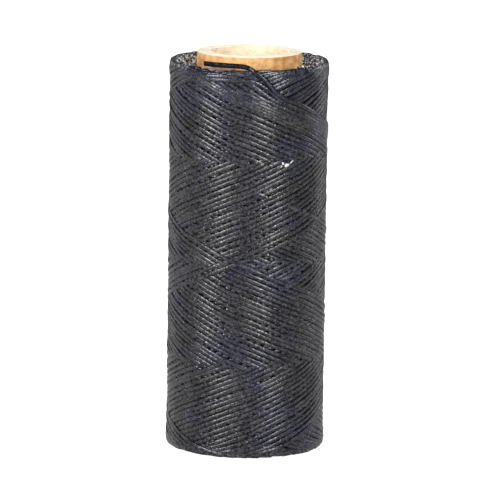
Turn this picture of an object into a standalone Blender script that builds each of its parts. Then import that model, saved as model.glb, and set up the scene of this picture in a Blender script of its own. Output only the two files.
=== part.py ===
# Waxed thread spool: a spiral-wound paper tube with one long waxed thread cross wound on it.
# Metres, +Z up. The origin is at the centre of the tube's lower end, where the spool stands.

import math

import bpy
from mathutils import Vector
from mathutils.geometry import interpolate_bezier

# Paper tube
TUBE_LENGTH = 0.130
BORE_RADIUS = 0.0125
TUBE_RADIUS = 0.0170
PLY_COUNT = 6

# Winding
COVER_COUNT = 7
WINDING_RADIUS = 0.0255
WINDING_BOTTOM = 0.0012
WINDING_TOP = 0.1270
END_DISH = 0.0010
SHOULDER_RADIUS = 0.0018
SHOULDER_STEPS = 4

# Loose end of the thread
TAIL_DIAMETER = 0.0012
TAIL_POINT_STEP = 0.0022

# Clear space between solids that touch in use: glue between plies, nesting between covers
GAP = 0.0003
TURN_STEPS = 48

# Route of the loose end, from where it leaves the winding to its cut end: x, y, z
TAIL_ROUTE = (
    (0.01244, -0.02340, 0.11720),
    (0.01097, -0.02407, 0.11815),
    (0.00938, -0.02470, 0.11925),
    (0.00794, -0.02518, 0.12060),
    (0.00670, -0.02554, 0.12210),
    (0.00548, -0.02581, 0.12360),
    (0.00421, -0.02603, 0.12475),
    (0.00295, -0.02614, 0.12570),
    (0.00173, -0.02594, 0.12655),
    (0.00035, -0.02514, 0.12735),
    (-0.00110, -0.02393, 0.12780),
    (-0.00285, -0.02240, 0.12785),
    (-0.00480, -0.02090, 0.12775),
    (-0.00690, -0.01935, 0.12765),
    (-0.00910, -0.01790, 0.12760),
    (-0.01125, -0.01650, 0.12755),
    (-0.01325, -0.01500, 0.12755),
    (-0.01430, -0.01410, 0.12755),
)


def clear_scene():
    for old in list(bpy.data.objects):
        bpy.data.objects.remove(old, do_unlink=True)


def new_collection(name):
    group = bpy.data.collections.new(name)
    bpy.context.scene.collection.children.link(group)
    return group


def new_material(name, colour, roughness, sheen=0.0, coat=0.0):
    material = bpy.data.materials.new(name)
    material.use_nodes = True
    shader = material.node_tree.nodes["Principled BSDF"]
    shader.inputs["Base Color"].default_value = (*colour, 1.0)
    shader.inputs["Roughness"].default_value = roughness
    shader.inputs["Metallic"].default_value = 0.0
    shader.inputs["Sheen Weight"].default_value = sheen
    shader.inputs["Coat Weight"].default_value = coat
    material.diffuse_color = (*colour, 1.0)
    return material


def turned(name, outline, material, group):
    """A closed outline of (radius, height) points, outer side running down, turned about Z."""
    mesh = bpy.data.meshes.new(name)
    points = [(radius, 0.0, height) for radius, height in outline]
    edges = [(i, (i + 1) % len(points)) for i in range(len(points))]
    mesh.from_pydata(points, edges, [])
    piece = bpy.data.objects.new(name, mesh)
    group.objects.link(piece)
    screw = piece.modifiers.new("Turn", "SCREW")
    screw.axis = "Z"
    screw.steps = TURN_STEPS
    screw.render_steps = TURN_STEPS
    screw.use_merge_vertices = True
    screw.merge_threshold = 0.00001
    screw.use_smooth_shade = True
    mesh.materials.append(material)
    return piece


def shared_thickness(inner, outer, count):
    """Wall of each of count nested rings that fill inner to outer, GAP apart."""
    return (outer - inner - GAP * (count - 1)) / count


def make_plies(group):
    """The paper tube, from its liner to its outer wrap."""
    wall = shared_thickness(BORE_RADIUS, TUBE_RADIUS, PLY_COUNT)
    names = ["tube_liner"]
    names += [f"tube_body_ply_{i}" for i in range(1, PLY_COUNT - 1)]
    names += ["tube_outer_wrap"]
    for i, name in enumerate(names):
        inner = BORE_RADIUS + i * (wall + GAP)
        outer = inner + wall
        outline = [(outer, TUBE_LENGTH), (outer, 0.0), (inner, 0.0), (inner, TUBE_LENGTH)]
        shade = 0.92 if i % 2 else 1.0
        colour = (0.72 * shade, 0.47 * shade, 0.25 * shade)
        turned(name, outline, new_material(name, colour, 0.85), group)


def end_height(radius):
    """How far the winding's end face rises from the tube outwards, over a shallow dish."""
    share = (radius - TUBE_RADIUS) / (WINDING_RADIUS - TUBE_RADIUS)
    return END_DISH * share


def shoulder(radius, face, turn):
    """Rounded outer corner, from the end face to the wall; turn is 1 at the top, -1 at the bottom."""
    corner = []
    for i in range(SHOULDER_STEPS + 1):
        angle = math.radians(90.0 * i / SHOULDER_STEPS)
        across = radius - SHOULDER_RADIUS * (1.0 - math.sin(angle))
        along = face - turn * SHOULDER_RADIUS * (1.0 - math.cos(angle))
        corner.append((across, along))
    return corner


def make_covers(group):
    """The wound thread, as nested covers that come off one after the other."""
    first = TUBE_RADIUS + GAP
    wall = shared_thickness(first, WINDING_RADIUS, COVER_COUNT)
    for i in range(COVER_COUNT):
        inner = first + i * (wall + GAP)
        outer = inner + wall
        low_in = WINDING_BOTTOM + END_DISH - end_height(inner)
        low_out = WINDING_BOTTOM + END_DISH - end_height(outer)
        high_in = WINDING_TOP - END_DISH + end_height(inner)
        high_out = WINDING_TOP - END_DISH + end_height(outer)
        if i < COVER_COUNT - 1:
            outline = [(outer, high_out), (outer, low_out), (inner, low_in), (inner, high_in)]
            name = f"thread_cover_{i + 1}"
        else:
            outline = outer_cover_outline(inner, outer)
            name = "thread_outer_cover"
        colour = (0.040, 0.042, 0.047)
        turned(name, outline, new_material(name, colour, 0.42, coat=0.25), group)


def outer_cover_outline(inner, outer):
    """The outermost cover, with its rounded shoulders."""
    top = shoulder(outer, WINDING_TOP, 1)
    bottom = list(reversed(shoulder(outer, WINDING_BOTTOM, -1)))
    kept_top = [point for point in top if point[0] > inner]
    kept_bottom = [point for point in bottom if point[0] > inner]
    drop = SHOULDER_RADIUS * (1.0 - math.cos(math.asin(1.0 - (outer - inner) / SHOULDER_RADIUS)))
    return kept_top + kept_bottom + [(inner, WINDING_BOTTOM + drop), (inner, WINDING_TOP - drop)]


def smooth_route(points):
    """Points read at an even step from one smooth curve through the route's points."""
    route = [Vector(point) for point in points]
    fine = []
    for i in range(len(route) - 1):
        before = route[max(i - 1, 0)]
        after = route[min(i + 2, len(route) - 1)]
        lead = route[i] + (route[i + 1] - before) / 6.0
        trail = route[i + 1] - (after - route[i]) / 6.0
        fine += interpolate_bezier(route[i], lead, trail, route[i + 1], 12)[:-1]
    fine.append(route[-1])
    length = sum((b - a).length for a, b in zip(fine, fine[1:]))
    count = round(length / TAIL_POINT_STEP)
    even = [fine[0]]
    travelled = 0.0
    for a, b in zip(fine, fine[1:]):
        travelled += (b - a).length
        if travelled >= length * len(even) / count and len(even) < count:
            even.append(b)
    even.append(fine[-1])
    return even


def make_tail(group):
    """The thread's loose end: out of the winding, over the shoulder, along the end face."""
    curve = bpy.data.curves.new("thread_tail", "CURVE")
    curve.dimensions = "3D"
    curve.bevel_depth = TAIL_DIAMETER / 2.0
    curve.bevel_resolution = 2
    curve.use_fill_caps = True
    route = smooth_route(TAIL_ROUTE)
    spline = curve.splines.new("POLY")
    spline.points.add(len(route) - 1)
    for point, place in zip(spline.points, route):
        point.co = (*place, 1.0)
    curve.materials.append(new_material("thread_tail", (0.030, 0.028, 0.028), 0.45, coat=0.25))
    tail = bpy.data.objects.new("thread_tail", curve)
    group.objects.link(tail)


clear_scene()
spool = new_collection("waxed_thread_spool")
make_plies(spool)
make_covers(spool)
make_tail(spool)
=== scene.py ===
import math
import random

import bpy
import numpy as np
from mathutils import Matrix, Vector


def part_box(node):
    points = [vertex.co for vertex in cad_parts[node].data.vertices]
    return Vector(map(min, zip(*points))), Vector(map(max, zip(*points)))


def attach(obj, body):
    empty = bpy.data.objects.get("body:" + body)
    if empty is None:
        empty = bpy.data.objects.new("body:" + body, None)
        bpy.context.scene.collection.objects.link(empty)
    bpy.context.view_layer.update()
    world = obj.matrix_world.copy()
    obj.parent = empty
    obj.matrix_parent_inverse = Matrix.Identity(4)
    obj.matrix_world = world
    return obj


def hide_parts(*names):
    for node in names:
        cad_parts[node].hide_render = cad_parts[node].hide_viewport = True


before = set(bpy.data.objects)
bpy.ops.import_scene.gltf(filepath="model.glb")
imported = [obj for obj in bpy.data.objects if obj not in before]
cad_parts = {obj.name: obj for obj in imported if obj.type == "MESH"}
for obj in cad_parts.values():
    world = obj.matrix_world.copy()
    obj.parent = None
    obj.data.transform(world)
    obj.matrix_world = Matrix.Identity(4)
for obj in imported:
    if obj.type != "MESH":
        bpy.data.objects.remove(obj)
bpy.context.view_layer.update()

# Waxed thread spool: a paper tube of glued plies, with one flat waxed thread cross wound on it.
# Angles round the spool are counted from the front (-Y), and grow towards +X.

print("frame loaded with", len(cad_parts), "nodes")


def deselectAll():
    for other in bpy.context.selected_objects:
        other.select_set(False)


def pickOnly(piece):
    deselectAll()
    piece.select_set(True)
    bpy.context.view_layer.objects.active = piece


# Camera

cameraSettings = {
    "place": (-0.00038, -1.400, 0.3145),
    "turn": 0.003,      # degrees to the right
    "dip": 10.065,      # degrees down
    "roll": 0.759,      # degrees
    "lens": 320.0,      # millimetres on a 36 mm sensor
}


def makeCamera(s):
    turn, dip, roll = (math.radians(s[key]) for key in ("turn", "dip", "roll"))
    forward = Vector((math.sin(turn) * math.cos(dip), math.cos(turn) * math.cos(dip), -math.sin(dip)))
    level = Vector((math.cos(turn), -math.sin(turn), 0.0))
    upright = level.cross(forward)
    right = level * math.cos(roll) + upright * math.sin(roll)
    up = upright * math.cos(roll) - level * math.sin(roll)
    data = bpy.data.cameras.new("camera")
    data.lens = s["lens"]
    data.sensor_width = 36.0
    data.clip_start = 0.05
    data.clip_end = 20.0
    camera = bpy.data.objects.new("camera", data)
    bpy.context.scene.collection.objects.link(camera)
    axes = Matrix((right, up, -forward)).transposed().to_4x4()
    camera.matrix_world = Matrix.Translation(s["place"]) @ axes
    bpy.context.scene.camera = camera


makeCamera(cameraSettings)
bpy.context.scene.view_settings.view_transform = "Standard"
print("camera set")


# Materials

def newMaterial(name):
    material = bpy.data.materials.new(name)
    material.use_nodes = True
    tree = material.node_tree
    return material, tree, tree.nodes["Principled BSDF"]


def addNode(tree, kind, inputs=None, **settings):
    node = tree.nodes.new(kind)
    for key, value in settings.items():
        setattr(node, key, value)
    for key, value in (inputs or {}).items():
        node.inputs[key].default_value = value
    return node


# Gives a socket its value: another socket's, a colour or a number.
def feed(tree, socket, value):
    if isinstance(value, bpy.types.NodeSocket):
        tree.links.new(value, socket)
    else:
        socket.default_value = (*value, 1.0) if isinstance(value, tuple) else value


def addMath(tree, operation, *values, **settings):
    node = addNode(tree, "ShaderNodeMath", operation=operation, **settings)
    for socket, value in zip(node.inputs, values):
        feed(tree, socket, value)
    return node.outputs["Value"]


# Turns the span of values into low to high, and holds what lies outside it.
def addRange(tree, source, span, low=0.0, high=1.0):
    start, stop = span
    node = addNode(tree, "ShaderNodeMapRange",
                   {"From Min": start, "From Max": stop, "To Min": low, "To Max": high})
    tree.links.new(source, node.inputs["Value"])
    return node.outputs["Result"]


def addMix(tree, share, first, second, **settings):
    node = addNode(tree, "ShaderNodeMix", data_type="RGBA", **settings)
    for key, value in (("Factor", share), ("A", first), ("B", second)):
        feed(tree, node.inputs[key], value)
    return node.outputs["Result"]


def addNoise(tree, place, scale, detail, roughness=0.5):
    node = addNode(tree, "ShaderNodeTexNoise", {"Scale": scale, "Detail": detail, "Roughness": roughness})
    tree.links.new(place, node.inputs["Vector"])
    return node.outputs["Fac"]


def addRamp(tree, source, stops):
    ramp = addNode(tree, "ShaderNodeValToRGB")
    line = ramp.color_ramp
    while len(line.elements) < len(stops):
        line.elements.new(0.5)
    for element, (place, shade) in zip(line.elements, stops):
        element.position = place
        element.color = (*shade, 1.0) if hasattr(shade, "__len__") else (shade, shade, shade, 1.0)
    tree.links.new(source, ramp.inputs["Fac"])
    return ramp.outputs["Color"]


def addBump(tree, shader, height, strength, distance):
    bump = addNode(tree, "ShaderNodeBump", {"Strength": strength, "Distance": distance})
    tree.links.new(height, bump.inputs["Height"])
    tree.links.new(bump.outputs["Normal"], shader.inputs["Normal"])


# The sockets X, Y and Z of a vector.
def addSplit(tree, vector):
    split = addNode(tree, "ShaderNodeSeparateXYZ")
    tree.links.new(vector, split.inputs["Vector"])
    return split.outputs


# The place on the object as one vector, and its X, Y and Z.
def addPlace(tree):
    place = addNode(tree, "ShaderNodeTexCoord").outputs["Object"]
    return place, addSplit(tree, place)


# A group whose sockets are all numbers. inputs holds the usual value of each input.
def newGroup(name, inputs, outputs):
    group = bpy.data.node_groups.new(name, "ShaderNodeTree")
    for label, value in inputs.items():
        socket = group.interface.new_socket(label, in_out="INPUT", socket_type="NodeSocketFloat")
        socket.default_value = value
    for label in outputs:
        group.interface.new_socket(label, in_out="OUTPUT", socket_type="NodeSocketFloat")
    return group, group.nodes.new("NodeGroupInput").outputs, group.nodes.new("NodeGroupOutput").inputs


strandPattern = {
    "twist": 0.22,              # turns of the fibres in each millimetre
    "along": 0.9,               # how fine the fibres are along the strand
    "across": 7.0,              # and across it
    "apart": 900.0,             # so that neighbours differ
    "fibreScale": 1.6,
    "smearScale": 260.0,
    "smearRange": (0.45, 0.78),
    "cloudScale": 55.0,         # of the patches of colour
    "aloft": (0.110, 0.121),    # heights between which the thread turns bluer
    "aloftTint": 0.15,
    "plies": 3,
    "layLength": 2.8,           # millimetres for one turn of the plies
    "wander": 26.0,             # how unevenly they turn
    "plyDepth": 0.32,
    # Wax grains: small light spots of wax that also serve as painted glints.
    "grainScale": 1150.0,
    "grainSize": (0.10, 0.18),
    "grainChance": 0.90,        # only cells above this have a grain
    "speckleScale": 1300.0,
}


# Fibres, wax smears, loose wax grains that also serve as painted glints, and a mask for painted shade on the
# narrow edges of a strand. U runs along it and V round it.
def buildStrandGroup(s):
    group, given, out = newGroup("strandSurface", {"GrainGlintAmount": 0.5},
                                 ("Height", "Fibre", "Wax", "GrainGlintMask", "Tint", "PaintedEdgeShade", "Speckle"))
    link = group.links.new
    place, spot = addPlace(group)
    split = addSplit(group, addNode(group, "ShaderNodeUVMap").outputs["UV"])
    u, v = split["X"], split["Y"]

    turned = addMath(group, "ADD", v, addMath(group, "MULTIPLY", u, s["twist"]))
    laid = addNode(group, "ShaderNodeCombineXYZ")
    link(addMath(group, "MULTIPLY", u, s["along"]), laid.inputs["X"])
    link(addMath(group, "MULTIPLY", turned, s["across"]), laid.inputs["Y"])
    link(addMath(group, "MULTIPLY", spot["Z"], s["apart"]), laid.inputs["Z"])
    fibre = addNoise(group, laid.outputs["Vector"], s["fibreScale"], 1.0)

    smear = addNoise(group, place, s["smearScale"], 4.0, 0.6)
    clean, waxed = s["smearRange"]
    cloud = addNoise(group, place, s["cloudScale"], 2.0)
    bluer = addRange(group, spot["Z"], s["aloft"], 0.0, s["aloftTint"])

    around = addMath(group, "MULTIPLY", v, s["plies"] * 2 * math.pi)
    lay = addMath(group, "MULTIPLY", u, s["plies"] * 2 * math.pi / s["layLength"])
    wander = addMath(group, "MULTIPLY", smear, s["wander"])
    phase = addMath(group, "ADD", addMath(group, "ADD", around, lay), wander)
    ply = addMath(group, "MULTIPLY", addMath(group, "SINE", phase), s["plyDepth"])

    cells = addNode(group, "ShaderNodeTexVoronoi", {"Scale": s["grainScale"]}, feature="F1")
    link(place, cells.inputs["Vector"])
    solid, clear = s["grainSize"]
    dots = addRamp(group, cells.outputs["Distance"], [(solid, 1.0), (clear, 0.0)])
    chosen = addNode(group, "ShaderNodeSeparateColor")
    link(cells.outputs["Color"], chosen.inputs["Color"])
    rare = addMath(group, "GREATER_THAN", chosen.outputs["Red"], s["grainChance"])
    grainGlint = addMath(group, "MULTIPLY", dots, rare)

    side = addMath(group, "COSINE", addMath(group, "MULTIPLY", v, 2 * math.pi))
    link(addMath(group, "ADD", addMath(group, "ADD", fibre, grainGlint), ply), out["Height"])
    link(fibre, out["Fibre"])
    link(addRamp(group, smear, [(clean, 0.0), (waxed, 1.0)]), out["Wax"])
    link(addMath(group, "MULTIPLY", grainGlint, given["GrainGlintAmount"]), out["GrainGlintMask"])
    link(addMath(group, "ADD", cloud, bluer), out["Tint"])
    link(addMath(group, "ABSOLUTE", side), out["PaintedEdgeShade"])      # 1 on the broad sides, 0 on the narrow edges: the mask for painted shade between strands
    link(addNoise(group, place, s["speckleScale"], 2.0, 0.7), out["Speckle"])
    return group


strandGroup = buildStrandGroup(strandPattern)

threadFinish = {
    "dark": (0.0022, 0.0022, 0.0030),
    "light": (0.036, 0.0345, 0.044),
    "fibreRange": (0.30, 0.72),
    "plain": (0.0135, 0.0130, 0.0180),
    "blue": (0.012, 0.012, 0.042),
    "brown": (0.017, 0.0122, 0.0125),
    "tintPlaces": (0.38, 0.47, 0.54, 0.64),     # where brown ends, plain starts and ends, and blue starts
    "tint": 0.40,
    "wax": (0.12, 0.12, 0.13),
    "smear": 0.22,
    # Colour of the wax grains and rim flecks, which also serve as painted glints.
    "grainGlint": (0.42, 0.42, 0.44),
    "grainGlintAmount": 0.8,
    "roughness": (0.20, 0.36),
    "gloss": 0.50,
    "edge": 0.12,           # painted shade between strands: how much of the colour and the gloss is left on the narrow edges
    "edgeShadeRange": (0.35, 0.85),
    "speckle": (0.45, 1.6),
    "speckleRange": (0.38, 0.62),
    "middle": 0.0641,       # height of the winding's middle
    "rimWaxGlint": 0.0,          # how much wax, partly painted glints, lies on the strands at both ends
    "rimFrom": (0.0614, 0.0626),        # from this far off the middle on
    "rimFlecks": (0.49, 0.57),
    "frontFewerFrom": (-0.0190, -0.0100),     # fewer of the rim flecks are left in front of this
    "frontFewerLeft": 0.12,
    "leftShade": 1.0,            # painted shade: how dark the left part of a piece gets; 1 leaves it alone
    "leftShadeFrom": (0.002, 0.009),
    "bump": 0.000034,
}


def threadMaterial(name, finish):
    material, tree, shader = newMaterial(name)
    link = tree.links.new
    surface = addNode(tree, "ShaderNodeGroup", {"GrainGlintAmount": finish["grainGlintAmount"]}, node_tree=strandGroup).outputs
    spot = addPlace(tree)[1]

    darkest, lightest = finish["fibreRange"]
    fibres = addRamp(tree, surface["Fibre"], [(darkest, finish["dark"]), (lightest, finish["light"])])
    shades = [finish[key] for key in ("brown", "plain", "plain", "blue")]
    tints = addRamp(tree, surface["Tint"], list(zip(finish["tintPlaces"], shades)))
    tinted = addMix(tree, finish["tint"], fibres, tints)
    smears = addRange(tree, surface["Wax"], (0.0, 1.0), 0.0, finish["smear"])
    waxed = addMix(tree, smears, tinted, finish["wax"])

    # Light flecks of wax near both ends, partly painted glints, with fewer towards the front.
    outwards = addMath(tree, "ABSOLUTE", addMath(tree, "SUBTRACT", spot["Z"], finish["middle"]))
    rim = addRange(tree, outwards, finish["rimFrom"], 0.0, finish["rimWaxGlint"])
    flecks = addMath(tree, "MULTIPLY", rim, addRange(tree, surface["Speckle"], finish["rimFlecks"]))
    frontFewer = addRange(tree, spot["Y"], finish["frontFewerFrom"], finish["frontFewerLeft"])
    # Wax grains and rim flecks lighten the colour: wax, partly painted glints.
    loose = addMath(tree, "MAXIMUM", surface["GrainGlintMask"], addMath(tree, "MULTIPLY", flecks, frontFewer))
    waxGlinted = addMix(tree, loose, waxed, finish["grainGlint"])

    # Painted shade: colour and gloss darken towards the narrow edges, so the gaps between strands look dark.
    edgeShade = addRange(tree, surface["PaintedEdgeShade"], finish["edgeShadeRange"], finish["edge"])
    patchy = addRange(tree, surface["Speckle"], finish["speckleRange"], *finish["speckle"])
    edgeShadeSpeckle = addMath(tree, "MULTIPLY", edgeShade, patchy)
    # Painted shade on the left part of a piece.
    shadedSpeckle = addMath(tree, "MULTIPLY", edgeShadeSpeckle, addRange(tree, spot["X"], finish["leftShadeFrom"], finish["leftShade"]))
    link(addMix(tree, 1.0, waxGlinted, shadedSpeckle, blend_type="MULTIPLY"), shader.inputs["Base Color"])
    link(addMath(tree, "MULTIPLY", edgeShadeSpeckle, finish["gloss"]), shader.inputs["Specular IOR Level"])
    link(addRange(tree, surface["Fibre"], (0.0, 1.0), *finish["roughness"]), shader.inputs["Roughness"])
    addBump(tree, shader, surface["Height"], 1.0, finish["bump"])
    return material


outerThread = threadMaterial("waxedThreadOuter", {**threadFinish, "rimWaxGlint": 0.7})
innerThread = threadMaterial("waxedThreadInner", threadFinish)
# The end faces get more and lighter rim flecks of wax, partly painted glints, and less painted shade on the
# narrow edges.
endThread = threadMaterial("waxedThreadEnds", {**threadFinish, "rimWaxGlint": 0.95, "rimFrom": (0.0585, 0.0600),
                                               "grainGlint": (0.70, 0.70, 0.69), "edge": 0.5,
                                               "roughness": (0.25, 0.45)})
# The loose end gets painted shade on its left part, over the tube.
tailThread = threadMaterial("waxedThreadTail", {**threadFinish, "grainGlintAmount": 0.4, "gloss": 0.30, "leftShade": 0.35})

print("materials ready")


# The winding's strands

strand = {
    "width": 0.00162,
    "thickness": 0.00086,
    "profileSides": 12,
    "fullness": 1.10,       # 1 is an ellipse, more is squarer
}

# Route of the loose end, from where it leaves the winding to its cut end, as in the CAD model.
tailRoute = (
    (0.01244, -0.02340, 0.11720),
    (0.01097, -0.02407, 0.11815),
    (0.00938, -0.02470, 0.11925),
    (0.00794, -0.02518, 0.12060),
    (0.00670, -0.02554, 0.12210),
    (0.00548, -0.02581, 0.12360),
    (0.00421, -0.02603, 0.12475),
    (0.00295, -0.02614, 0.12570),
    (0.00173, -0.02594, 0.12655),
    (0.00035, -0.02514, 0.12735),
    (-0.00110, -0.02393, 0.12780),
    (-0.00285, -0.02240, 0.12785),
    (-0.00480, -0.02090, 0.12775),
    (-0.00690, -0.01935, 0.12765),
    (-0.00910, -0.01790, 0.12760),
    (-0.01125, -0.01650, 0.12755),
    (-0.01325, -0.01500, 0.12755),
    (-0.01430, -0.01410, 0.12755),
)


# Flattened section of the thread: thin across, wide along the second axis.
def strandProfile(name, s):
    bpy.ops.curve.primitive_bezier_circle_add(radius=0.5, location=(0.0, 0.0, 0.0))
    profile = bpy.context.object
    profile.name = name
    for point in profile.data.splines[0].bezier_points:
        for handle in (point.handle_left, point.handle_right):
            handle.xyz = point.co + (handle - point.co) * s["fullness"]
        for place in (point.co, point.handle_left, point.handle_right):
            place.x *= s["thickness"]
            place.y *= s["width"]
    profile.data.resolution_u = s["profileSides"] // 4
    profile.hide_render = True
    return profile


profileCurve = strandProfile("strandProfile", strand)


# One curve object with an open spline for each route of (places, tilts).
def strandCurve(name, routes):
    data = bpy.data.curves.new(name, "CURVE")
    data.dimensions = "3D"
    data.twist_mode = "Z_UP"
    data.bevel_mode = "OBJECT"
    data.bevel_object = profileCurve
    data.use_fill_caps = True
    for places, tilts in routes:
        spline = data.splines.new("POLY")
        spline.points.add(len(places) - 1)
        flat = np.ones((len(places), 4), np.float32)
        flat[:, :3] = places
        spline.points.foreach_set("co", flat.ravel())
        spline.points.foreach_set("tilt", np.asarray(tilts, np.float32))
        spline.use_smooth = True
    piece = bpy.data.objects.new(name, data)
    bpy.context.scene.collection.objects.link(piece)
    return piece


# Makes the curve a closed mesh, with one UV unit for each millimetre along it.
def meshFromCurve(piece, length=1.0):
    pickOnly(piece)
    bpy.ops.object.convert(target="MESH")
    made = bpy.context.object
    bpy.ops.object.mode_set(mode="EDIT")
    bpy.ops.mesh.select_all(action="SELECT")
    bpy.ops.mesh.remove_doubles(threshold=0.0000005)
    bpy.ops.object.mode_set(mode="OBJECT")
    places = np.empty(len(made.data.loops) * 2, np.float32)
    made.data.uv_layers[0].data.foreach_get("uv", places)
    places[0::2] *= length * 1000
    made.data.uv_layers[0].data.foreach_set("uv", places)
    bpy.ops.object.shade_smooth_by_angle(angle=math.radians(60))
    return made


def finishPiece(piece, material, nodes):
    if material:
        piece.data.materials.clear()
        piece.data.materials.append(material)
    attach(piece, "root")
    if nodes:
        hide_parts(*nodes)


# The loose end

tailSettings = {
    "length": 0.0345,
    "finePoints": 6,       # points between two points of the route
    "frayCount": 7,
    "frayLength": 0.0013,
    "frayWidth": 0.00013,
    "frayPoints": 5,
    "fraySunk": 0.0004,     # how deep in the cut end the fibres start
    "fraySpread": 0.7,      # share of the strand's width that they come from
    "frayLean": 0.35,
    "fraySeed": 3,
}


def smoothRoute(points, between):
    route = [Vector(p) for p in points]
    fine = []
    for i in range(len(route) - 1):
        before, after = route[max(i - 1, 0)], route[min(i + 2, len(route) - 1)]
        lead = route[i] + (route[i + 1] - before) / 6
        trail = route[i + 1] - (after - route[i]) / 6
        for j in range(between):
            t = j / between
            fine.append(route[i] * (1 - t) ** 3 + lead * 3 * t * (1 - t) ** 2
                        + trail * 3 * t * t * (1 - t) + route[i + 1] * t ** 3)
    return fine + [route[-1]]


tailPath = smoothRoute(tailRoute, tailSettings["finePoints"])
tailPlaces = np.array([list(p) for p in tailPath])
tailCurve = strandCurve("threadTail", [(tailPlaces, np.zeros(len(tailPlaces)))])
tail = meshFromCurve(tailCurve, tailSettings["length"])
finishPiece(tail, tailThread, ["thread_tail"])


# Fine fibres that stand out of the cut end.
def makeFray(s):
    chance = random.Random(s["fraySeed"])
    tip = Vector(tailRoute[-1])
    ahead = (tip - Vector(tailRoute[-2])).normalized()
    data = bpy.data.curves.new("tailFray", "CURVE")
    data.dimensions = "3D"
    data.bevel_depth = s["frayWidth"] / 2
    data.bevel_resolution = 1
    data.use_fill_caps = True
    for i in range(s["frayCount"]):
        offset = (i / (s["frayCount"] - 1) - 0.5) * strand["width"] * s["fraySpread"]
        spot = tip - ahead * s["fraySunk"] + Vector((0.0, 0.0, offset))
        lean = Vector([chance.uniform(-s["frayLean"], s["frayLean"]) for _ in range(3)])
        reach = s["frayLength"] * (0.6 + 0.4 * (i % 3) / 2)
        spline = data.splines.new("POLY")
        spline.points.add(s["frayPoints"] - 1)
        for j, point in enumerate(spline.points):
            t = j / (s["frayPoints"] - 1)
            place = spot + (ahead + lean * t) * reach * t
            point.co = (*place, 1.0)
            point.radius = 1.0 - 0.6 * t
    fray = bpy.data.objects.new("tailFray", data)
    bpy.context.scene.collection.objects.link(fray)
    return meshFromCurve(fray, s["frayLength"])


fray = makeFray(tailSettings)
finishPiece(fray, tailThread, [])
print("loose end made")


# The visible strokes

winding = {
    "doubleStrokes": 39,
    "reversal": math.radians(41.0),        # turn over which the thread slows before each end
    "lastReversal": math.radians(-7.3),    # where the last stroke turned at the lower end
    "turnsPerStroke": 2,
    "lowZ": 0.00195,
    "highZ": 0.12625,
    "baseRadius": 0.02490,
    "layerStep": 0.00050,       # how far the first layer above another stands out
    "squeezed": 0.95,           # all further layers together add this many steps at most
    "squeezeRate": 0.33,
    "pointStep": 0.00092,
    "shoulderDrop": 0.00045,
    "shoulderReach": 0.0022,
    "seed": 11,
    "scatter": 0.00022,     # how far a stroke may sit from its even place
    "waver": 0.00026,       # how far it wanders on its way
    "waverPoints": 45,      # points from one change of course to the next
    "waverEase": 0.006,     # height over which it settles towards both ends
    "firstLate": 29.5,      # from this stroke on the upper ends sink more and more
    "lateDrop": 0.0072,     # how far the last of them has sunk
    "lateFrom": math.radians(220.0),       # turn before the upper end, over which it sinks
    "lateTo": math.radians(75.0),
    "lateClimb": (math.radians(42.0), math.radians(5.0)),      # and over which it climbs back
    "topDrops": {37: 0.0025, 36: 0.0016, 35: 0.0010, 34: 0.0005},       # left over at the very top
    "topReach": (math.radians(30.0), math.radians(55.0)),      # before the top, and after it
    "gapAfter": {29: 0.00035, 13: 0.00028, 21: -0.00022},     # uneven spacing between strokes
    "gapSpread": 6,         # strokes over which such a gap is taken up
    "mapSize": (1440, 660),       # cells round the spool, and up it, in the map of what is laid already
    "cellHeight": 0.0002,
    "sides": 7,             # places across a strand that are looked up in the map
    "sideReach": 0.46,      # the outermost of them, in widths from its middle
    "lowestIgnored": 2,     # so many of them don't hold the strand up
    "nudge": 0.0003,        # how far to each side of a point along the strand the map is filled
    "levelFall": 0.12,      # most that the level falls from one point to the next
    "smoothPoints": 7,
    "tailReach": math.radians(45.0),       # turn over which the last stroke meets the loose end
    "tailPoints": 16,       # points over which it rises to it
}


# Height of the strand at turn g from the lower reversal: steady, but slowed near both ends.
def strokeHeight(g, s):
    w = s["reversal"]
    top = s["topTurn"]
    slope = s["slope"]
    steady = s["lowZ"] + slope * (g - w / 2)
    low = s["lowZ"] + slope * g * g / (2 * w)
    high = s["highZ"] - slope * (top - g) ** 2 / (2 * w)
    return np.where(g < w, low, np.where(g > top - w, high, steady))


def planStrokes(s):
    s["pitch"] = 2 * math.pi / s["doubleStrokes"]
    s["topTurn"] = 2 * math.pi * s["turnsPerStroke"] - s["pitch"] / 2
    s["slope"] = (s["highZ"] - s["lowZ"]) / (s["topTurn"] - s["reversal"])
    s["strokeLength"] = math.hypot(s["highZ"] - s["lowZ"], s["topTurn"] * s["baseRadius"])


# Random values in -1..1 that change slowly, one new value each reach points.
def smoothNoise(chance, count, reach):
    knots = np.array([chance.uniform(-1, 1) for _ in range(count // reach + 3)])
    return np.interp(np.arange(count) / reach, np.arange(len(knots)), knots)


# The cells of the level map that these places fall in.
def cellsAt(angle, z, level, s):
    columns, rows = level.shape
    column = np.round(angle / (2 * math.pi) * columns).astype(int) % columns
    row = np.clip(np.round(z / s["cellHeight"]).astype(int), 0, rows - 1)
    return column, row


# 0 before start, 1 past stop, smooth between.
def easeIn(value, start, stop):
    t = np.clip((value - start) / (stop - start), 0.0, 1.0)
    return t * t * (3 - 2 * t)


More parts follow.
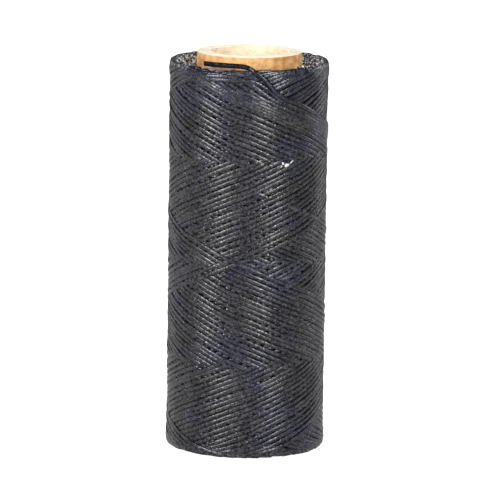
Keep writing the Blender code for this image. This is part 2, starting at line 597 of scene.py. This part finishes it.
# How far the last strokes sink near their upper ends. before is the turn still to go to the end.
def lateSag(k, goingUp, before, s):
    beforeTop, afterTop = s["topReach"]
    if not goingUp:
        return s["topDrops"].get(k - 1, 0.0) * (1 - easeIn(before, 0.0, afterTop))
    late = s["lateDrop"] * max(0.0, (k - s["firstLate"]) / (s["doubleStrokes"] - 1 - s["firstLate"]))
    sunk = easeIn(-before, -s["lateFrom"], -s["lateTo"])
    if k == s["doubleStrokes"] - 1:
        return late * sunk
    climbed = easeIn(-before, -s["lateClimb"][0], -s["lateClimb"][1])
    left = s["topDrops"].get(k, 0.0) * (1 - easeIn(before, 0.0, beforeTop))
    return late * sunk * (1 - climbed) + left


# The last stroke stops where the loose end leaves, and meets it.
def endAtTail(angle, z, s):
    leave = Vector(tailRoute[0])
    last = math.atan2(leave.x, -leave.y) - 2 * math.pi * s["turnsPerStroke"]
    kept = angle > last
    angle, z = angle[kept], z[kept]
    z = z + (leave.z - z[-1]) * easeIn(-angle, -last - s["tailReach"], -last)
    angle[-1] = last
    return angle, z


# Each double stroke's height wanders a little, and leaves or closes some gaps to the next.
def unevenHeight(z, k, chance, s):
    ease = np.clip(np.minimum(z - s["lowZ"], s["highZ"] - z) / s["waverEase"], 0.0, 1.0)
    course = smoothNoise(chance, len(z), s["waverPoints"])
    z = z + s["waver"] * ease * course + chance.uniform(-1, 1) * s["scatter"]
    gaps = ((after - k, shift) for after, shift in s["gapAfter"].items() if k <= after)
    return z + sum(shift * max(0.0, 1 - ahead / s["gapSpread"]) for ahead, shift in gaps)


# The level of a stroke along its way: the strands under it hold it up, and it bends gently.
def restingLevel(under, s):
    mine = np.sort(under, axis=0)[s["lowestIgnored"]:].mean(axis=0)
    held = mine.copy()
    for shift in (1, 2):
        fall = s["levelFall"] * shift
        held[shift:] = np.maximum(held[shift:], mine[:-shift] - fall)
        held[:-shift] = np.maximum(held[:-shift], mine[shift:] - fall)
    count = s["smoothPoints"]
    return np.convolve(np.pad(held, count // 2, mode="edge"), np.ones(count) / count, mode="valid")


# Lays the strokes in order. Each rides over what lies under it already.
def layStrokes(s, thread):
    planStrokes(s)
    chance = random.Random(s["seed"])
    level = np.zeros(s["mapSize"], np.float32)
    count = int(s["topTurn"] / (s["pointStep"] / s["baseRadius"]))
    rise = np.linspace(0.0, s["topTurn"], count)
    across = np.linspace(-s["sideReach"], s["sideReach"], s["sides"]) * thread["width"]
    strokes = []
    for k in range(s["doubleStrokes"]):
        lowTurn = s["lastReversal"] + (k - s["doubleStrokes"] + 1) * s["pitch"]
        for goingUp in (False, True):
            g = rise if goingUp else rise[::-1]
            angle = lowTurn - g if goingUp else lowTurn + g
            z = unevenHeight(strokeHeight(g, s), k, chance, s)
            z = z - lateSag(k, goingUp, s["topTurn"] - g, s)
            if goingUp and k == s["doubleStrokes"] - 1:
                angle, z = endAtTail(angle, z, s)
            dz = np.gradient(z)
            da = np.gradient(angle) * s["baseRadius"]
            length = np.hypot(dz, da)
            sideA = -dz / length
            sideZ = da / length
            under = np.zeros((len(across), len(z)))
            for i, off in enumerate(across):
                places = angle + off * sideA / s["baseRadius"], z + off * sideZ
                under[i] = level[cellsAt(*places, level, s)]
            rests = restingLevel(under, s)
            for off in across:
                for nudge in (-s["nudge"], 0.0, s["nudge"]):
                    turnTo = angle + (nudge + off * sideA) / s["baseRadius"]
                    cells = cellsAt(turnTo, z + off * sideZ, level, s)
                    level[cells] = np.maximum(level[cells], rests + 1.0)
            strokes.append({"angle": angle, "z": z, "level": rests})
    return strokes


# How far a strand at this level stands out: whole steps at first, then squeezed together.
def liftOf(level, s):
    more = np.maximum(level - 1.0, 0.0)
    return s["layerStep"] * (np.minimum(level, 1.0) + s["squeezed"] * (1.0 - np.exp(-s["squeezeRate"] * more)))


# 0 along the wall, 1 at the very end of the winding.
def endEase(z, s):
    near = np.minimum(z - s["lowZ"], s["highZ"] - z)
    return np.clip(1.0 - near / s["shoulderReach"], 0.0, 1.0)


def strokePlaces(stroke, s):
    edge = endEase(stroke["z"], s)
    radius = s["baseRadius"] + liftOf(stroke["level"], s) - s["shoulderDrop"] * edge ** 2
    x = radius * np.sin(stroke["angle"])
    y = -radius * np.cos(stroke["angle"])
    return np.stack([x, y, stroke["z"]], axis=1)


strokes = layStrokes(winding, strand)
print("strokes laid:", len(strokes))


# Raises the end of the last stroke to where the loose end starts.
def liftToTail(places, reach):
    start = np.array(tailRoute[0])
    share = easeIn(np.arange(len(places)) - len(places) + reach + 1, 0.0, reach)
    radius = np.hypot(places[:, 0], places[:, 1])
    wanted = radius + (math.hypot(start[0], start[1]) - radius) * share
    places[:, 0] *= wanted / radius
    places[:, 1] *= wanted / radius
    return places


strandPieces = 4
for part, numbers in enumerate(np.array_split(np.arange(len(strokes)), strandPieces)):
    routes = [(strokePlaces(strokes[i], winding), np.zeros(len(strokes[i]["z"]))) for i in numbers]
    if part == strandPieces - 1:
        routes[-1] = (liftToTail(routes[-1][0], winding["tailPoints"]), routes[-1][1])
    name = f"outerStrands{part + 1}"
    piece = meshFromCurve(strandCurve(name, routes), winding["strokeLength"])
    finishPiece(piece, outerThread, ["thread_outer_cover"])
    print(name, len(piece.data.polygons), "faces")


# The covers under the visible one

coverBed = {
    "lower": 0.0016,        # how far the bed stays below the loops at each end
    "clear": 0.00008,       # what the innermost cover leaves to the tube
    "sunk": 0.0001,         # how deep the loops sit in the bed and in the face
    "segments": 128,
    "loops": 46,
    "loopReach": (math.radians(9.0), math.radians(15.0)),
    "loopPoints": 13,
    "loopSlope": 0.011,     # metres per radian
    "loopBend": 0.08,       # radians over which a loop turns back
    "zScatter": 0.0014,
    "radiusScatter": 0.00035,
    "turnScatter": math.radians(5.0),
    "lean": 0.7,            # how far a strand may be turned about its own length
    "seed": 5,
}


# An open tube from a bare cylinder wall that is given its thickness inwards.
def makeTube(name, inner, outer, low, high, segments):
    deselectAll()
    bpy.ops.mesh.primitive_cylinder_add(
        vertices=segments, radius=outer, depth=high - low, end_fill_type="NOTHING",
        location=(0.0, 0.0, (high + low) / 2),
    )
    tube = bpy.context.object
    tube.name = name
    bpy.ops.object.transform_apply(location=True, rotation=True, scale=True)
    wall = tube.modifiers.new("wall", "SOLIDIFY")
    wall.thickness = outer - inner
    wall.offset = -1.0
    bpy.ops.object.modifier_apply(modifier="wall")
    return tube


# One turn-back of the thread at an end face: it rises to the face and falls away again.
def endLoop(radius, limits, middle, edgeZ, upwards, chance, s):
    reach = chance.uniform(*s["loopReach"])
    g = np.linspace(-reach, reach, s["loopPoints"])
    turn = middle + chance.uniform(-1, 1) * s["turnScatter"]
    r = radius + s["radiusScatter"] * (chance.uniform(-1, 1) + chance.uniform(-1, 1) * g / reach)
    r = np.clip(r, *limits)
    fall = s["loopSlope"] * (np.hypot(g, s["loopBend"]) - s["loopBend"])
    z = edgeZ - upwards * (fall + chance.uniform(0.0, 1.0) ** 1.3 * s["zScatter"])
    places = np.stack([r * np.sin(turn + g), -r * np.cos(turn + g), z], axis=1)
    return places, np.full(len(g), chance.uniform(-1, 1) * s["lean"])


def joinInto(first, others):
    pickOnly(first)
    for other in others:
        other.select_set(True)
    bpy.ops.object.join()
    return bpy.context.object


def makeCover(index, node, s):
    low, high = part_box(node)
    _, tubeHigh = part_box("tube_outer_wrap")
    outer = high.x
    inner = outer - (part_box("thread_cover_2")[1].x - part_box("thread_cover_1")[1].x)
    inner = max(inner, tubeHigh.x + s["clear"])
    bedLow, bedHigh = low.z + s["lower"], high.z - s["lower"]
    bed = makeTube(f"threadCover{index}", inner, outer, bedLow, bedHigh, s["segments"])
    chance = random.Random(s["seed"] + index)
    half = strand["width"] / 2
    limits = (inner + strand["thickness"] / 2 - s["sunk"], outer + strand["thickness"] / 2)
    loops = []
    for k in range(s["loops"]):
        share = k / s["loops"]
        radius = inner + strand["thickness"] / 2 + (outer - inner) * share
        middle = k * 2 * math.pi / s["loops"] + index
        loops.append(endLoop(radius, limits, middle, high.z - half + s["sunk"], 1, chance, s))
        loops.append(endLoop(radius, limits, middle, low.z + half - s["sunk"], -1, chance, s))
    ends = meshFromCurve(strandCurve(f"endLoops{index}", loops), 2 * s["loopReach"][1] * outer)
    bed.data.uv_layers.active.name = "UVMap"
    bed.data.materials.append(innerThread)
    ends.data.materials.append(endThread)
    return joinInto(bed, [ends])


for index in range(1, 7):       # the six hidden covers
    node = f"thread_cover_{index}"
    finishPiece(makeCover(index, node, coverBed), None, [node])

outerCoverBed = {
    "clear": 0.00005,       # what it leaves to the cover under it
    "below": 0.00024,       # how far it stays under the strands
    "short": 0.0004,        # how much shorter it is at each end
}
outerBed = makeTube(
    "outerCoverBed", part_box("thread_cover_6")[1].x + outerCoverBed["clear"],
    winding["baseRadius"] - outerCoverBed["below"], winding["lowZ"] + outerCoverBed["short"],
    winding["highZ"] - outerCoverBed["short"], coverBed["segments"],
)
finishPiece(outerBed, innerThread, ["thread_outer_cover"])
print("covers made")


# Paper tube

paper = {
    "segments": 160,
    "glueLine": 0.00004,      # what shows between two plies at the ends
    "edge": 0.00009,          # softened corners
    "cutScatter": 0.00007,    # how unevenly the plies were cut off
    "liner": (0.82, 0.68, 0.49),
    "body": (0.56, 0.36, 0.18),
    "wrap": (0.64, 0.37, 0.155),
    "cut": (0.76, 0.69, 0.56),
    "sideShade": (0.46, 0.20, 0.05),      # painted shade: darker, more orange colour towards both sides of the wrap
    "sideShadeMiddle": -0.003,
    "sideShadeFrom": (0.004, 0.018),      # this far to the side of its middle
    "contrast": {"liner": 0.35, "body": 1.0, "wrap": 1.15},
    "sideShaded": {"liner": 0.0, "body": 0.0, "wrap": 0.75},
    "deep": (0.74, 0.60, 0.42),       # the mottle's darkest and palest, as shares of the colour
    "pale": (1.16, 1.22, 1.35),
    "cutDeep": 0.86,
    "cutDepth": (0.00016, 0.00004),   # the cut colour comes in between these depths under an end
    "seamPitch": 0.062,               # height of one turn of the liner's strip
    "seamPitchLess": 0.003,           # and how much less each further ply has
    "seamShift": 0.37,
    "seamShade": 0.55,
    "roughness": 0.82,
    "gloss": 0.3,
    "bump": 0.00008,
}


# Mottled board with long fibres, and the butt seam of a strip wound round the tube.
def buildPaperGroup():
    group, given, out = newGroup("paperBoard", {"Seam Pitch": 0.06, "Seam Shift": 0.0},
                                 ("Mottle", "Fibre", "Seam", "Height", "Level"))
    link = group.links.new
    place, spot = addPlace(group)
    mottle = addNoise(group, place, 420.0, 5.0, 0.62)
    stretch = addNode(group, "ShaderNodeMapping", {"Scale": (1.0, 1.0, 5.0), "Rotation": (0.5, 0.3, 0.0)})
    link(place, stretch.inputs["Vector"])
    fibre = addNoise(group, stretch.outputs["Vector"], 1500.0, 3.0, 0.7)
    turns = addMath(group, "DIVIDE", addMath(group, "ARCTAN2", spot["Y"], spot["X"]), 2 * math.pi)
    climb = addMath(group, "DIVIDE", spot["Z"], given["Seam Pitch"])
    moved = addMath(group, "ADD", addMath(group, "ADD", turns, climb), given["Seam Shift"])
    seam = addRamp(group, addMath(group, "FRACT", moved),
                   [(0.0, 0.0), (0.494, 0.0), (0.498, 1.0), (0.504, 1.0), (0.508, 0.0)])
    link(mottle, out["Mottle"])
    link(fibre, out["Fibre"])
    link(seam, out["Seam"])
    link(addMath(group, "SUBTRACT", fibre, seam), out["Height"])
    link(spot["Z"], out["Level"])
    return group


paperGroup = buildPaperGroup()


# The board of the ply with this index, counted from the bore.
def paperMaterial(name, kind, index, s):
    material, tree, shader = newMaterial(name)
    seam = {"Seam Pitch": s["seamPitch"] - s["seamPitchLess"] * index, "Seam Shift": s["seamShift"] * index}
    board = addNode(tree, "ShaderNodeGroup", seam, node_tree=paperGroup).outputs
    spot = addPlace(tree)[1]
    colour, contrast = s[kind], s["contrast"][kind]
    deep = tuple(c * (1 - (1 - f) * contrast) for c, f in zip(colour, s["deep"]))
    pale = tuple(min(c * (1 + (f - 1) * contrast), 1.0) for c, f in zip(colour, s["pale"]))
    mottled = addRamp(tree, board["Mottle"], [(0.36, deep), (0.50, colour), (0.66, pale)])

    # Painted shade towards both sides of the wrap, broken up by the board's mottle.
    sideways = addMath(tree, "ABSOLUTE", addMath(tree, "SUBTRACT", spot["X"], s["sideShadeMiddle"]))
    sideShade = addRange(tree, sideways, s["sideShadeFrom"], 0.0, s["sideShaded"][kind])
    uneven = addRange(tree, board["Mottle"], (0.62, 0.38), 0.15)
    sideShaded = addMix(tree, addMath(tree, "MULTIPLY", sideShade, uneven), mottled, s["sideShade"])
    fibres = addRamp(tree, board["Fibre"], [(0.35, 0.80), (0.62, 1.0)])
    shaded = addMix(tree, 0.7, sideShaded, fibres, blend_type="MULTIPLY")

    below, above = s["cutDepth"]
    top = addRange(tree, board["Level"], (tubeLength - below, tubeLength - above))
    ends = addMath(tree, "MAXIMUM", top, addRange(tree, board["Level"], (below, above)))
    cutDeep = tuple(c * s["cutDeep"] for c in s["cut"])
    cut = addMix(tree, ends, shaded, addRamp(tree, board["Mottle"], [(0.30, cutDeep), (0.60, s["cut"])]))
    wall = addMath(tree, "SUBTRACT", 0.6, ends, use_clamp=True)     # no seam on the cut ends
    onWall = addMath(tree, "MULTIPLY", board["Seam"], wall)
    seamed = addMix(tree, onWall, cut, tuple(c * s["seamShade"] for c in colour))
    tree.links.new(seamed, shader.inputs["Base Color"])
    shader.inputs["Roughness"].default_value = s["roughness"]
    shader.inputs["Specular IOR Level"].default_value = s["gloss"]
    addBump(tree, shader, board["Height"], 0.6, s["bump"])
    return material


def softenEdges(tube, width):
    pickOnly(tube)
    edge = tube.modifiers.new("edge", "BEVEL")
    edge.width = width
    edge.segments = 2
    edge.limit_method = "ANGLE"
    edge.angle_limit = math.radians(60)
    bpy.ops.object.modifier_apply(modifier="edge")


# The plies weren't cut off perfectly level.
def unevenCut(tube, depth, index):
    for vertex in tube.data.vertices:
        if vertex.co.z > tubeLength / 2:
            turn = math.atan2(vertex.co.y, vertex.co.x)
            wave = math.sin(3 * turn + 1.9 * index) * math.cos(7 * turn - index)
            vertex.co.z -= depth * (0.5 + 0.5 * wave)


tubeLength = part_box("tube_liner")[1].z
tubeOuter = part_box("tube_outer_wrap")[1].x
nodeGap = 0.0003        # between the nodes of two plies
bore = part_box("tube_liner")[1].x - (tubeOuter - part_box("tube_body_ply_4")[1].x) + nodeGap
plyNodes = ["tube_liner"] + [f"tube_body_ply_{i}" for i in range(1, 5)] + ["tube_outer_wrap"]
plyStep = (tubeOuter - bore) / len(plyNodes)
for index, node in enumerate(plyNodes):
    inner = bore + index * plyStep
    outer = inner + plyStep - (paper["glueLine"] if index < len(plyNodes) - 1 else 0.0)
    name = {"tube_liner": "tubeLiner", "tube_outer_wrap": "tubeOuterWrap"}.get(node, f"tubePly{index}")
    ply = makeTube(name, inner, outer, 0.0, tubeLength, paper["segments"])
    softenEdges(ply, paper["edge"])
    unevenCut(ply, paper["cutScatter"], index)
    pickOnly(ply)
    bpy.ops.object.shade_smooth_by_angle(angle=math.radians(50))
    kind = "liner" if index == 0 else "wrap" if index == len(plyNodes) - 1 else "body"
    finishPiece(ply, paperMaterial(f"{name}Board", kind, index, paper), [node])
print("paper tube made")


# Crumbs of wax

waxCrumbs = {
    # turn round the spool in degrees, height, half length, half height, lean in degrees: the large flake first
    "places": ((28.5, 0.0964, 0.00085, 0.00050, 22.0), (25.4, 0.0970, 0.00034, 0.00052, 0.0),
               (32.3, 0.0973, 0.00080, 0.00017, 34.0), (24.2, 0.0960, 0.00034, 0.00016, 30.0)),
    "standOff": 0.02592,
    "flatness": 0.00020,
    "colour": (0.66, 0.66, 0.66),
    "bumps": 7,
    "swell": (0.45, 0.70),       # size away from the bumps, and what a bump adds
    "seed": 8,
}


def makeCrumbs(s):
    chance = random.Random(s["seed"])
    least, more = s["swell"]
    crumbs = []
    for angle, height, long, tall, lean in s["places"]:
        turn, lean = math.radians(angle), math.radians(lean)
        deselectAll()
        bpy.ops.mesh.primitive_ico_sphere_add(subdivisions=3, radius=1.0, location=(0.0, 0.0, 0.0))
        crumb = bpy.context.object
        middle = Vector((s["standOff"] * math.sin(turn), -s["standOff"] * math.cos(turn), height))
        outward = Vector((math.sin(turn), -math.cos(turn), 0.0))
        across = Vector((math.cos(turn), math.sin(turn), 0.0))
        upright = Vector((0.0, 0.0, 1.0))
        first = across * math.cos(lean) + upright * math.sin(lean)
        second = upright * math.cos(lean) - across * math.sin(lean)
        bumps = [Vector([chance.uniform(-1, 1) for _ in range(3)]).normalized() for _ in range(s["bumps"])]
        for vertex in crumb.data.vertices:
            arm = vertex.co.copy()
            swell = least + more * max(arm.normalized().dot(b) for b in bumps)
            side = first * arm.x * long + second * arm.y * tall + outward * arm.z * s["flatness"]
            vertex.co = middle + side * swell
        crumbs.append(crumb)
    flakes = joinInto(crumbs[0], crumbs[1:])
    flakes.name = "waxFlakes"
    return flakes


def waxMaterial(s):
    material, tree, shader = newMaterial("looseWax")
    cloud = addNoise(tree, addPlace(tree)[0], 2600.0, 3.0)
    tone = addRamp(tree, cloud, [(0.3, tuple(c * 0.75 for c in s["colour"])), (0.6, s["colour"])])
    tree.links.new(tone, shader.inputs["Base Color"])
    addBump(tree, shader, cloud, 0.5, 0.0001)
    shader.inputs["Roughness"].default_value = 0.45
    return material


finishPiece(makeCrumbs(waxCrumbs), waxMaterial(waxCrumbs), [])
print("wax crumbs made")


# Stage

stageSettings = {
    "floor": (0.55, 0.55, 0.55),
    "floorSize": 12.0,
    "floorGap": 0.0002,        # what it leaves to the spool
    "floorGlow": 1.0,          # how bright the floor and the surroundings look
    "surroundings": 0.05,      # how much light comes from all round
}


def makeStage(s):
    bpy.ops.mesh.primitive_plane_add(size=s["floorSize"], location=(0.0, 0.0, -s["floorGap"]))
    floor = bpy.context.object
    floor.name = "floor"
    material, tree, shader = newMaterial("paleFloor")
    shader.inputs["Base Color"].default_value = (*s["floor"], 1.0)
    shader.inputs["Roughness"].default_value = 0.9
    shader.inputs["Specular IOR Level"].default_value = 0.0
    path = addNode(tree, "ShaderNodeLightPath")
    glow = addMath(tree, "MULTIPLY", path.outputs["Is Camera Ray"], s["floorGlow"])
    shader.inputs["Emission Color"].default_value = (1.0, 1.0, 1.0, 1.0)
    tree.links.new(glow, shader.inputs["Emission Strength"])
    floor.data.materials.append(material)
    world = bpy.context.scene.world or bpy.data.worlds.new("studio")
    bpy.context.scene.world = world
    world.use_nodes = True
    sky = world.node_tree.nodes["Background"]
    sky.inputs["Color"].default_value = (1.0, 1.0, 1.0, 1.0)
    seen = addNode(world.node_tree, "ShaderNodeLightPath").outputs["Is Camera Ray"]
    level = addRange(world.node_tree, seen, (0.0, 1.0), s["surroundings"])
    world.node_tree.links.new(level, sky.inputs["Strength"])


# Each light's place, its width and height, and its power in watts. All face the spool's middle.
lightTarget = (0.0, 0.0, 0.06)
lights = {
    "leftBox": ((-1.10, -1.00, 0.60), (0.14, 0.90), 24.0),
    "rightBox": ((0.72, -1.35, 0.60), (0.14, 0.90), 22.5),
    "topBox": ((0.0, 0.15, 1.3), (0.4, 0.4), 11.0),
    "rearLeftBox": ((-1.2, 0.7, 0.4), (0.4, 0.7), 2.2),
    "rearRightBox": ((1.2, 0.7, 0.4), (0.4, 0.7), 3.5),
}


def areaLight(name, place, size, power):
    data = bpy.data.lights.new(name, "AREA")
    data.shape = "RECTANGLE"
    data.size, data.size_y = size
    data.energy = power
    light = bpy.data.objects.new(name, data)
    light.location = place
    light.rotation_euler = (Vector(lightTarget) - Vector(place)).to_track_quat("-Z", "Y").to_euler()
    bpy.context.scene.collection.objects.link(light)


makeStage(stageSettings)
for name, (place, size, power) in lights.items():
    areaLight(name, place, size, power)
print("stage and lights set")
